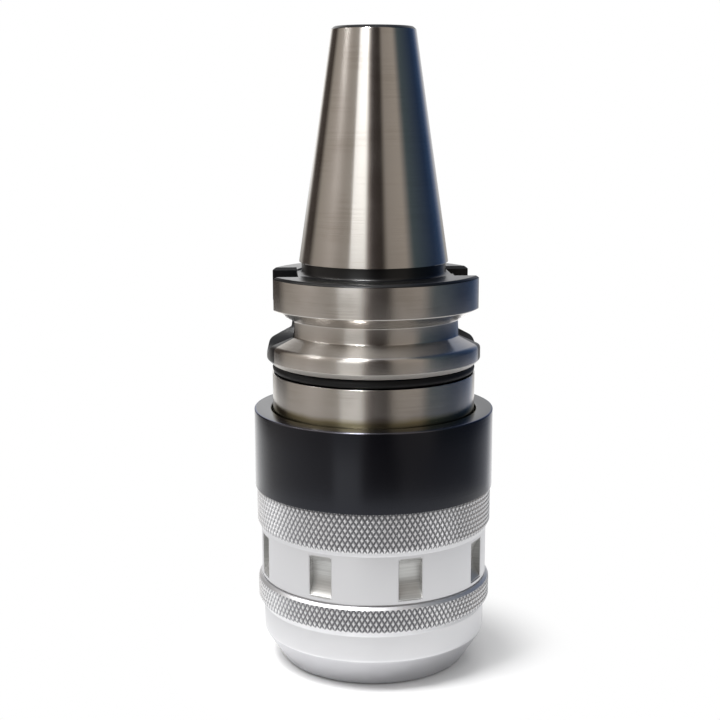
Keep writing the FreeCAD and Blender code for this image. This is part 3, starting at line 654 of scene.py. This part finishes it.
def knurl_tree(material):
    """Geometry: a fine grid wrapped round the axis, pressed in by two crossing sets of V-grooves."""
    tree = bpy.data.node_groups.new("diamond_knurl", "GeometryNodeTree")
    tree.interface.new_socket("Geometry", in_out="OUTPUT", socket_type="NodeSocketGeometry")
    for name in ("Count", "Steps", "Rows"):
        tree.interface.new_socket(name, in_out="INPUT", socket_type="NodeSocketInt")
    for name in ("Pitch", "Foot", "Height", "Tip", "Valley", "Inside", "Foot Cone", "Foot Radius",
                 "Head Cone", "Head Radius"):
        tree.interface.new_socket(name, in_out="INPUT", socket_type="NodeSocketFloat")
    known = {socket.name: socket for socket in add(tree, "NodeGroupInput").outputs}
    known["index"] = add(tree, "GeometryNodeInputIndex")
    # Each line is one Math node: the name of its result, its operation, and what goes in.
    for name, operation, *inputs in (
            # A band has one row of points more than it has steps. Three more rows make its
            # inner wall: the wall's foot, its head, and its foot again, which closes the ring.
            ("columns", "MULTIPLY_ADD", "Count", "Steps", 1),
            ("rows", "ADD", "Rows", 4),
            ("inner head", "ADD", "Rows", 0.5),
            ("inner foot", "ADD", "Rows", 1.5),
            # Point numbers run up one column of the grid after another.
            ("past index", "ADD", "index", 0.5),
            ("columns passed", "DIVIDE", "past index", "rows"),
            ("column", "FLOOR", "columns passed"),
            ("column start", "MULTIPLY", "column", "rows"),
            ("point in column", "SUBTRACT", "index", "column start"),
            ("row", "SUBTRACT", "point in column", 1),
            ("is below", "LESS_THAN", "row", -0.5),
            ("is above", "GREATER_THAN", "row", "inner head"),
            ("is inside", "MAXIMUM", "is below", "is above"),
            ("is foot again", "GREATER_THAN", "row", "inner foot"),
            ("is not again", "SUBTRACT", 1, "is foot again"),
            # How high each row stands.
            ("row share", "DIVIDE", "row", "Rows"),
            ("share from foot", "MAXIMUM", "row share", 0),
            ("share to head", "MINIMUM", "share from foot", 1),
            ("share", "MULTIPLY", "share to head", "is not again"),
            ("height", "MULTIPLY_ADD", "share", "Height", "Foot"),
            ("up", "SUBTRACT", "height", "Foot"),
            ("down", "SUBTRACT", "Height", "up"),
            # A groove's floor lies at each whole number of pitches, and a flat crest between.
            # Its flanks are full up after a third of a pitch.
            ("around", "DIVIDE", "column", "Steps"),
            ("along", "DIVIDE", "up", "Pitch"),
            ("right-hand", "ADD", "around", "along"),
            ("left-hand", "SUBTRACT", "around", "along"),
            ("right groove", "PINGPONG", "right-hand", 0.5),
            ("left groove", "PINGPONG", "left-hand", 0.5),
            ("right crest", "MULTIPLY", "right groove", KNURL_FLANK),
            ("left crest", "MULTIPLY", "left groove", KNURL_FLANK),
            ("lower crest", "MINIMUM", "right crest", "left crest"),
            ("crest", "MINIMUM", "lower crest", 1),
            ("depth", "SUBTRACT", "Tip", "Valley"),
            ("raised", "MULTIPLY_ADD", "crest", "depth", "Valley"),
            # The chamfers at the band's ends cut the crests back, and these are painted bright too.
            ("foot limit", "MULTIPLY_ADD", "up", "Foot Cone", "Foot Radius"),
            ("head limit", "MULTIPLY_ADD", "down", "Head Cone", "Head Radius"),
            ("end limit", "MINIMUM", "foot limit", "head limit"),
            ("outer", "MINIMUM", "raised", "end limit"),
            ("cut off", "SUBTRACT", "raised", "outer"),
            ("is cut back", "GREATER_THAN", "cut off", 0.02 * MM),
            ("shine", "MAXIMUM", "crest", "is cut back"),
            # Where each point goes.
            ("inward", "SUBTRACT", "Inside", "outer"),
            ("radius", "MULTIPLY_ADD", "is inside", "inward", "outer"),
            ("turn", "DIVIDE", "around", "Count"),
            ("angle", "MULTIPLY", "turn", 2 * math.pi),
            ("cosine", "COSINE", "angle"),
            ("sine", "SINE", "angle"),
            ("x", "MULTIPLY", "radius", "cosine"),
            ("y", "MULTIPLY", "radius", "sine")):
        settings = {place: known.get(item, item) for place, item in enumerate(inputs)}
        known[name] = add(tree, "ShaderNodeMath", {"operation": operation, **settings})
    grid = add(tree, "GeometryNodeMeshGrid", {"Size X": 1, "Size Y": 1,
                                              "Vertices X": known["columns"],
                                              "Vertices Y": known["rows"]})
    place = add(tree, "ShaderNodeCombineXYZ", {"X": known["x"], "Y": known["y"],
                                               "Z": known["height"]})
    wrapped = add(tree, "GeometryNodeSetPosition", {"Geometry": grid, "Position": place})
    # The stored share paints the knurl's valleys darker as their shade, and its crests lighter.
    marked = add(tree, "GeometryNodeStoreNamedAttribute",
                 {"Geometry": wrapped, "Name": "crest", "Value": known["shine"]})
    cut_up = add(tree, "GeometryNodeTriangulate",
                 {"Mesh": marked, "quad_method": "SHORTEST_DIAGONAL"})
    welded = add(tree, "GeometryNodeMergeByDistance", {"Geometry": cut_up, "Distance": 1e-6})
    real = add(tree, "GeometryNodeRealizeInstances", {"Geometry": welded})
    painted = add(tree, "GeometryNodeSetMaterial", {"Geometry": real, "Material": material})
    add(tree, "NodeGroupOutput", {"Geometry": painted})
    return tree


def knurl_ring(name, tree, material, foot, head, tip, ends):
    """Grow a knurled band between two heights and keep it as a plain mesh."""
    (foot_radius, foot_cone), (head_radius, head_cone) = ends
    height = (head - foot) * MM
    rows = round(height / (KNURL_PITCH * MM) * KNURL_STEPS)
    sizes = {
        "Count": KNURL_COUNT, "Steps": KNURL_STEPS, "Rows": rows,
        "Pitch": height * KNURL_STEPS / rows, "Foot": foot * MM, "Height": height,
        "Tip": tip * MM, "Valley": (tip - KNURL_DEPTH) * MM,
        "Inside": (KNURL_RADIUS - KNURL_WALL) * MM,
        "Foot Radius": foot_radius * MM, "Foot Cone": foot_cone,
        "Head Radius": head_radius * MM, "Head Cone": head_cone,
    }
    band = bpy.data.objects.new(name, bpy.data.meshes.new(name))
    bpy.context.scene.collection.objects.link(band)
    modifier = band.modifiers.new("knurl", "NODES")
    modifier.node_group = tree
    sockets = {item.name: item.identifier for item in tree.interface.items_tree
               if item.in_out == "INPUT"}
    for key, size in sizes.items():
        modifier[sockets[key]] = size
    graph = bpy.context.evaluated_depsgraph_get()
    data = bpy.data.meshes.new_from_object(band.evaluated_get(graph))
    band.modifiers.clear()
    mesh = bmesh.new()
    mesh.from_mesh(data)
    bmesh.ops.recalc_face_normals(mesh, faces=mesh.faces)
    mesh.to_mesh(band.data)
    mesh.free()
    band.data.materials.clear()
    band.data.materials.append(material)
    return band


silver = satin_silver()
nut = lathe("knurled_clamping_nut", nut_outline())
carve(nut, pocket_tools())
carve(nut, lip_tools())
nut.data.materials.append(silver)
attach(nut, "nut")
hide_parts("clamping_nut")

knurl_silver = knurled_silver()
knurl = knurl_tree(knurl_silver)
upper_knurl = knurl_ring("upper_knurl_band", knurl, knurl_silver, UPPER_KNURL_FOOT, NUT_TOP,
                         KNURL_RADIUS, UPPER_KNURL_ENDS)
lower_knurl = knurl_ring("lower_knurl_band", knurl, knurl_silver, LOWER_KNURL_FOOT,
                         LOWER_KNURL_TOP, LOWER_KNURL_RADIUS, LOWER_KNURL_ENDS)
for band in (upper_knurl, lower_knurl):
    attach(band, "nut")

# ---------------------------------------------------------------------------------- inner works
# Needle rollers of polished bearing steel in a machined brass cage, held by a snap ring and a
# steel washer, behind two rubber wipers. They only show with the nut drawn apart.


def plain_metal(name, colour, roughness, patches_per_mm):
    """Machined or polished metal, a little darker in patches of about a millimetre."""
    material, tree = new_material(name)
    place = add(tree, "ShaderNodeTexCoord").outputs["Object"]
    grain = add(tree, "ShaderNodeTexNoise",
                {"Vector": place, "Scale": patches_per_mm / MM, "Detail": 3})
    dull = add(tree, "ShaderNodeMapRange",
               {"Value": grain, "From Min": 0.35, "From Max": 0.65, "To Min": 1.0, "To Max": 0.0})
    tone = add(tree, "ShaderNodeMix", {"data_type": "RGBA", "blend_type": "MULTIPLY",
                                       0: dull, 6: colour, 7: (0.86, 0.86, 0.86, 1)}).outputs[2]
    metal = add(tree, "ShaderNodeBsdfPrincipled",
                {"Base Color": tone, "Metallic": 1, "Roughness": roughness})
    add(tree, "ShaderNodeOutputMaterial", {"Surface": metal})
    return material


bearing_steel = plain_metal("bearing_steel", "#d2d2d6", 0.14, 0.9)
cage_brass = plain_metal("machined_brass", "#c9a65a", 0.3, 0.7)
for name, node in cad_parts.items():
    if name.startswith("needle_roller") or name == "cage_stop_washer":
        finish = bearing_steel
    elif name == "roller_cage":
        finish = cage_brass
    elif name in ("collar_wiper", "nose_seal"):
        finish = rubber
    elif name == "cage_snap_ring":
        finish = black_steel
    else:
        continue
    for place in node.material_slots:
        place.material = finish

# ---------------------------------------------------------------------------------- stage
# A pale sheet under the holder, a bright room, and studio flags whose strips the ground steel
# mirrors: dark panels each side and a narrow light box beside the camera.

CAMERA_TURN = math.radians(4.5)
CAMERA_DISTANCE = 290.1 * MM
CAMERA_HEIGHT = (GAUGE_PLANE + 32.65) * MM
# The pitch is in radians, the sensor and lens in millimetres, the shift in widths of the sensor.
CAMERA_PITCH = 0.186
SENSOR = 36.0
LENS = 68.075
SIDE_SHIFT = -0.0188889

camera_data = bpy.data.cameras.new("camera")
camera = bpy.data.objects.new("camera", camera_data)
bpy.context.scene.collection.objects.link(camera)
camera_data.sensor_width = SENSOR
camera_data.lens = LENS
camera_data.shift_x = SIDE_SHIFT
camera_data.clip_start = 0.01
camera_data.clip_end = 10
camera.location = (-math.sin(CAMERA_TURN) * CAMERA_DISTANCE,
                   -math.cos(CAMERA_TURN) * CAMERA_DISTANCE, CAMERA_HEIGHT)
aim = Vector((math.sin(CAMERA_TURN) * math.cos(CAMERA_PITCH),
              math.cos(CAMERA_TURN) * math.cos(CAMERA_PITCH), -math.sin(CAMERA_PITCH)))
camera.rotation_euler = aim.to_track_quat("-Z", "Y").to_euler()
bpy.context.scene.camera = camera

# The stage's own sizes are in metres.
SHEET_RADIUS = 0.13
SHADOW_FADE_START = SHEET_RADIUS * 0.21
SHADOW_FADE_END = SHEET_RADIUS * 0.36
SURROUND_RADIUS = 0.30
SURROUND_FOOT = -0.25
SURROUND_TOP = 0.75
MASK_FADE = (0.07, 0.11)
TABLE_FADE = (0.01, -0.01)
# Strips of the surround at the height of the holder, and lower down where it mirrors the
# table: degrees from the camera's side, counted towards +X, and the colour.
STRIPS = [
    (-180, "#e8e8e8"), (-152, "#d8d8d8"), (-143, "#8a8682"), (-136, "#423c39"), (-116, "#342e2a"),
    (-104, "#8a847d"), (-72, "#9c958f"), (-52, "#88827c"), (-37, "#8a857f"), (-35, "#ffffff"),
    (-14, "#fafaf8"), (-9, "#6c625d"), (-3, "#2e2725"), (14, "#26211e"), (22, "#807a74"),
    (50, "#8c857e"), (57, "#6a6866"), (64, "#3e484c"), (86, "#303a46"), (108, "#1f2c42"),
    (126, "#283a56"), (138, "#5c6880"), (150, "#9a9ca2"), (180, "#c8c8c8"),
]
LOW_STRIPS = [
    (-180, "#ffffff"), (-140, "#e0e0e0"), (-110, "#a8a6a4"), (-37, "#8c8884"),
    (-35, "#d0ceca"), (-14, "#c8c6c3"), (-9, "#625e5a"), (0, "#484442"), (18, "#3e3a38"),
    (30, "#77736f"), (60, "#66666a"), (100, "#5c6068"), (135, "#a0a2a8"), (150, "#e0e0e2"),
    (180, "#ffffff"),
]


def floor_sheet():
    """A round sheet of smooth paper that takes the shadow and fades into the white of the room."""
    mesh = bmesh.new()
    bmesh.ops.create_circle(mesh, cap_ends=True, segments=96, radius=SHEET_RADIUS)
    sheet = finish_mesh("floor_sheet", mesh)
    material, tree = new_material("pale_sheet")
    place = add(tree, "ShaderNodeTexCoord").outputs["Object"]
    reach = add(tree, "ShaderNodeVectorMath", {"operation": "LENGTH", 0: place}).outputs["Value"]
    fade = add(tree, "ShaderNodeMapRange",
               {"interpolation_type": "SMOOTHSTEP", "Value": reach,
                "From Min": SHADOW_FADE_START, "From Max": SHADOW_FADE_END})
    paper = add(tree, "ShaderNodeBsdfPrincipled",
                {"Base Color": "#f7f7f7", "Roughness": 0.32, "Specular IOR Level": 0.35})
    white = add(tree, "ShaderNodeEmission", {"Color": "#ffffff", "Strength": 1})
    mix = add(tree, "ShaderNodeMixShader", {0: fade, 1: paper, 2: white})
    add(tree, "ShaderNodeOutputMaterial", {"Surface": mix})
    sheet.data.materials.append(material)
    return sheet


def surround():
    """Flags and light boxes as one tube with a ceiling; only mirrored rays see it."""
    steps = 96
    mesh = bmesh.new()
    rings = [[mesh.verts.new((SURROUND_RADIUS * math.cos(a), SURROUND_RADIUS * math.sin(a), z))
              for a in (2 * math.pi * step / steps for step in range(steps))]
             for z in (SURROUND_FOOT, SURROUND_TOP)]
    for step in range(steps):
        after = (step + 1) % steps
        mesh.faces.new((rings[0][step], rings[1][step], rings[1][after], rings[0][after]))
    mesh.faces.new(rings[1])
    tube = finish_mesh("studio_surround", mesh)
    material, tree = new_material("studio_flags")
    place = add(tree, "ShaderNodeTexCoord").outputs["Object"]
    # Turned so that the camera's side lies on X, a place's arc tangent is its angle from there.
    turned = add(tree, "ShaderNodeVectorRotate",
                 {"rotation_type": "Z_AXIS", "Angle": math.pi / 2 + CAMERA_TURN, "Vector": place})
    ahead, aside, height = add(tree, "ShaderNodeSeparateXYZ", {0: turned}).outputs
    angle = add(tree, "ShaderNodeMath", {"operation": "ARCTAN2", 0: aside, 1: ahead})
    share = add(tree, "ShaderNodeMath",
                {"operation": "MULTIPLY_ADD", 0: angle, 1: 0.5 / math.pi, 2: 0.5})
    high, low = (add(tree, "ShaderNodeValToRGB",
                     {"Fac": share, "stops": [((degrees + 180) / 360, tone)
                                              for degrees, tone in strips]})
                 for strips in (STRIPS, LOW_STRIPS))
    # The taper mirrors the light box as it is. Further down the wall the box is masked, for the
    # pieces under the taper, and from the floor's level down the wall stands for the table.
    dimmed = add(tree, "ShaderNodeMix", {"data_type": "RGBA", "blend_type": "MULTIPLY",
                                         0: 1.0, 6: high, 7: "#e6e6e6"}).outputs[2]
    masked = add(tree, "ShaderNodeMix", {"data_type": "RGBA", "blend_type": "DARKEN",
                                         0: 1.0, 6: dimmed, 7: "#8c8a87"}).outputs[2]
    level = add(tree, "ShaderNodeMapRange",
                {"Value": height, "From Min": MASK_FADE[0], "From Max": MASK_FADE[1]})
    table = add(tree, "ShaderNodeMapRange",
                {"Value": height, "From Min": TABLE_FADE[0], "From Max": TABLE_FADE[1]})
    is_ceiling = add(tree, "ShaderNodeMath",
                     {"operation": "GREATER_THAN", 0: height, 1: SURROUND_TOP - 0.001})
    walls = add(tree, "ShaderNodeMix",
                {"data_type": "RGBA", 0: level, 6: masked, 7: high}).outputs[2]
    room = add(tree, "ShaderNodeMix", {"data_type": "RGBA", 0: table, 6: walls, 7: low}).outputs[2]
    colour = add(tree, "ShaderNodeMix",
                 {"data_type": "RGBA", 0: is_ceiling, 6: room, 7: "#9a9a9e"}).outputs[2]
    glow = add(tree, "ShaderNodeEmission", {"Color": colour, "Strength": 1.7})
    add(tree, "ShaderNodeOutputMaterial", {"Surface": glow})
    tube.data.materials.append(material)
    tube.visible_camera = False
    tube.visible_diffuse = False
    tube.visible_shadow = False
    return tube


def lamp(name, place, size, power):
    """A square soft lamp aimed at the middle of the holder."""
    middle = Vector((0, 0, 0.06))
    data = bpy.data.lights.new(name, "AREA")
    data.size = size
    data.energy = power
    light = bpy.data.objects.new(name, data)
    light.location = place
    light.rotation_euler = (middle - Vector(place)).to_track_quat("-Z", "Y").to_euler()
    bpy.context.scene.collection.objects.link(light)
    return light


def bright_room():
    """White to the camera and in mirrors, dimmer where it only fills the shadows."""
    world = bpy.data.worlds.new("bright_room")
    world.use_nodes = True
    tree = world.node_tree
    tree.nodes.clear()
    rays = add(tree, "ShaderNodeLightPath").outputs
    white = rays["Is Camera Ray"]
    for ray in ("Is Glossy Ray", "Is Transmission Ray"):
        white = add(tree, "ShaderNodeMath", {"operation": "MAXIMUM", 0: white, 1: rays[ray]})
    strength = add(tree, "ShaderNodeMapRange", {"Value": white, "To Min": 0.68, "To Max": 1.0})
    room = add(tree, "ShaderNodeBackground", {"Color": "#ffffff", "Strength": strength})
    add(tree, "ShaderNodeOutputWorld", {"Surface": room})
    return world


bpy.context.scene.world = bright_room()
# Two soft lamps light the satin surfaces, and two small windows only show as mirrored glints.
lamp("key_lamp", (-0.22, -0.12, 0.48), 0.20, 2.0).visible_glossy = False
lamp("overhead_lamp", (-0.10, -0.04, 0.55), 0.24, 1.5).visible_glossy = False
lamp("side_window", (-0.33, -0.02, 0.38), 0.07, 0.7).visible_diffuse = False
lamp("high_window", (-0.125, -0.226, 0.43), 0.08, 1.6).visible_diffuse = False
floor_sheet()
surround()

bpy.context.scene.view_settings.view_transform = "Standard"
